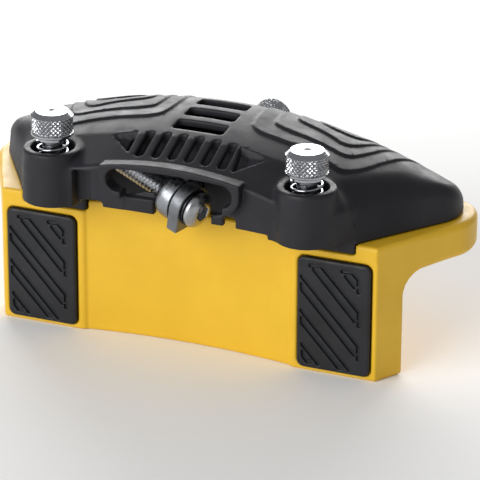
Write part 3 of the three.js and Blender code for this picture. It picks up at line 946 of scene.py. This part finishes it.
def polished(name, tint, rough, scratched, base=0.9):
    """Plated or ground metal with hair-fine scratches and slight blotches."""
    look = Finish(name, Metallic=1.0)
    look.colour(look.ramp(look.noise(0.004, 4, 0.6), [tuple(base * c for c in tint[:3]) + (1,), tint]))
    look.roughness(look.ramp(look.noise(0.0012, 5, 0.75), [rough * 0.6, rough, rough * 1.5]))
    hairs = look.noise(0.0011, 3, 0.6, look.stretched(1, 1, 14))
    first = look.bump(hairs, 0.00002, scratched)
    look.bump(look.noise(0.003, 2), 0.00005, 0.12, first)
    return look.material


def ground(name, tint, rough):
    """Sintered or ground metal: fine parallel marks in a satin surface."""
    look = Finish(name, Metallic=1.0)
    look.colour(look.ramp(look.noise(0.002, 5, 0.7), [tuple(0.78 * c for c in tint[:3]) + (1,), tint]))
    look.roughness(look.ramp(look.noise(0.0009, 4, 0.7), [rough - 0.08, rough, rough + 0.1]))
    look.bump(look.noise(0.0006, 4, 0.7, look.stretched(1, 9, 1)), 0.00003, 0.4)
    return look.material


def low_friction(name):
    """Machined polyethylene: near black, waxy, with faint rubbed streaks along the ski."""
    look = Finish(name, Specular_IOR_Level=0.35)
    look.colour(look.ramp(look.noise(0.01, 4, 0.6), [srgb(25, 26, 29), srgb(34, 35, 39)]))
    streaks = look.noise(0.0016, 4, 0.7, look.stretched(0.12, 1, 1))
    look.roughness(look.ramp(streaks, [0.36, 0.46, 0.56]))
    look.bump(streaks, 0.00004, 0.35)
    return look.material


MATERIALS = {
    "base_plastic": moulded("yellow_nylon", srgb(222, 176, 38), srgb(228, 182, 42), 0.42, 0.18, 0.06, 0.4),
    "cover_plastic": moulded("charcoal_nylon", srgb(30, 30, 34), srgb(37, 37, 42), 0.5, 0.35, 0.07, 0.27),
    "pad_plastic": low_friction("glide_plastic"),
    "knob_chrome": polished("bright_chrome", srgb(170, 172, 176), 0.18, 0.25),
    "spring_steel": polished("spring_wire", srgb(190, 192, 196), 0.2, 0.4),
    "holder_chrome": polished("satin_chrome", srgb(150, 153, 157), 0.34, 0.3),
    "carbide": ground("carbide", srgb(128, 130, 134), 0.42),
    # the shim washer's grey is painted dark to stand for the shade in the narrow gap between the blade and
    # the bolt head
    "washer_steel": ground("washer_painted_shade", srgb(70, 72, 76), 0.25),
    "screw_steel": polished("bolt_chrome", srgb(176, 177, 180), 0.3, 0.3),
    "brass": polished("brass", srgb(205, 168, 88), 0.25, 0.4, 0.8),
    "zinc_steel": ground("zinc_plate", srgb(170, 173, 177), 0.3),
}


def dress(obj, body, slot, *nodes):
    """Gives a piece its body, its finish and the CAD nodes that it stands for."""
    obj.data.materials.clear()
    obj.data.materials.append(MATERIALS[slot])
    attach(obj, body)
    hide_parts(*nodes)
    return obj


# ---- the tool ----

dress(make_base(), "frame", "base_plastic", "base_body")
dress(make_cover(), "frame", "cover_plastic", "handle_cover")
for side in ("left", "right"):
    dress(make_pad("glide_pad_" + side), "frame", "pad_plastic", "glide_pad_" + side)
    dress(make_insert("thread_insert_" + side), "frame", "brass", "thread_insert_" + side)
    dress(make_foot("depth_foot_" + side), side + "_foot", "zinc_steel", "depth_foot_" + side)
    dress(make_depth_screw("depth_screw_" + side), side + "_screw", "knob_chrome", "depth_screw_" + side)
    spring = dress(make_spring("depth_spring_" + side), "frame", "spring_steel", "depth_spring_" + side)
    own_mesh(spring)
dress(make_holder(), "holder", "holder_chrome", "blade_holder")
dress(make_blade(), "cutter", "carbide", "blade")
dress(make_blade_washer(), "clamp_screw", "washer_steel", "blade_washer")
dress(make_blade_screw(), "clamp_screw", "screw_steel", "blade_screw")
dress(make_guide_bush(), "frame", "brass", "guide_bush")
dress(make_thrust_washer(), "frame", "zinc_steel", "thrust_washer")
dress(make_rear_knob(), "rear_adjuster", "knob_chrome", "rear_knob")
for screw in COVER_SCREWS:
    dress(make_cover_screw("cover_screw_" + screw), "frame", "zinc_steel", "cover_screw_" + screw)


# ---- studio ----

def make_floor():
    mesh = bpy.data.meshes.new("floor")
    mesh.from_pydata([(-3, -3, 0), (3, -3, 0), (3, 3, 0), (-3, 3, 0)], [], [(0, 1, 2, 3)])
    floor = add_object("floor", mesh)
    look = Finish("floor_paper", Roughness=0.85)
    look.colour(look.ramp(look.noise(0.4, 2), [srgb(250, 250, 250), srgb(252, 252, 252)]))
    mesh.materials.append(look.material)


def make_light(name, place, size, power, target=(0, 0, 0.03)):
    light = bpy.data.lights.new(name, "AREA")
    light.shape = "RECTANGLE"
    light.size, light.size_y = size
    light.energy = power
    lamp = bpy.data.objects.new(name, light)
    bpy.context.scene.collection.objects.link(lamp)
    lamp.location = place
    lamp.rotation_mode = "QUATERNION"
    lamp.rotation_quaternion = (Vector(target) - Vector(place)).to_track_quat("-Z", "Y")


def make_world():
    world = bpy.data.worlds.new("studio")
    bpy.context.scene.world = world
    world.use_nodes = True
    world.node_tree.nodes["Background"].inputs["Color"].default_value = (1, 1, 1, 1)
    world.node_tree.nodes["Background"].inputs["Strength"].default_value = 0.34


def make_view():
    """Plain colours, as a catalogue picture has them."""
    bpy.context.scene.view_settings.view_transform = "Standard"


def make_camera():
    """At the picture's viewing angle, a long lens from the front right."""
    azimuth, elevation, roll = math.radians(23.10), math.radians(22.27), math.radians(0.26)
    target = Vector((0.01667, 0, 0.03629))
    target.y = GUIDE_Y * MM
    distance = 0.891
    back = Vector((math.sin(azimuth) * math.cos(elevation), -math.cos(azimuth) * math.cos(elevation),
                   math.sin(elevation)))
    camera = bpy.data.objects.new("camera", bpy.data.cameras.new("camera"))
    bpy.context.scene.collection.objects.link(camera)
    camera.location = target + distance * back
    camera.rotation_mode = "QUATERNION"
    right = Vector((math.cos(azimuth), math.sin(azimuth), 0))
    turn = Matrix((right, back.cross(right), back)).transposed()
    camera.rotation_quaternion = (turn @ Matrix.Rotation(roll, 3, "Z")).to_quaternion()
    camera.data.sensor_width = 36
    camera.data.lens = 238.8
    camera.data.clip_end = 20
    bpy.context.scene.camera = camera


make_floor()
make_world()
make_light("key", (-0.45, -1.05, 0.5), (1.1, 0.7), 12.5)
make_light("back", (-0.4, 1.05, 0.45), (1.3, 0.5), 16)
make_view()
make_camera()
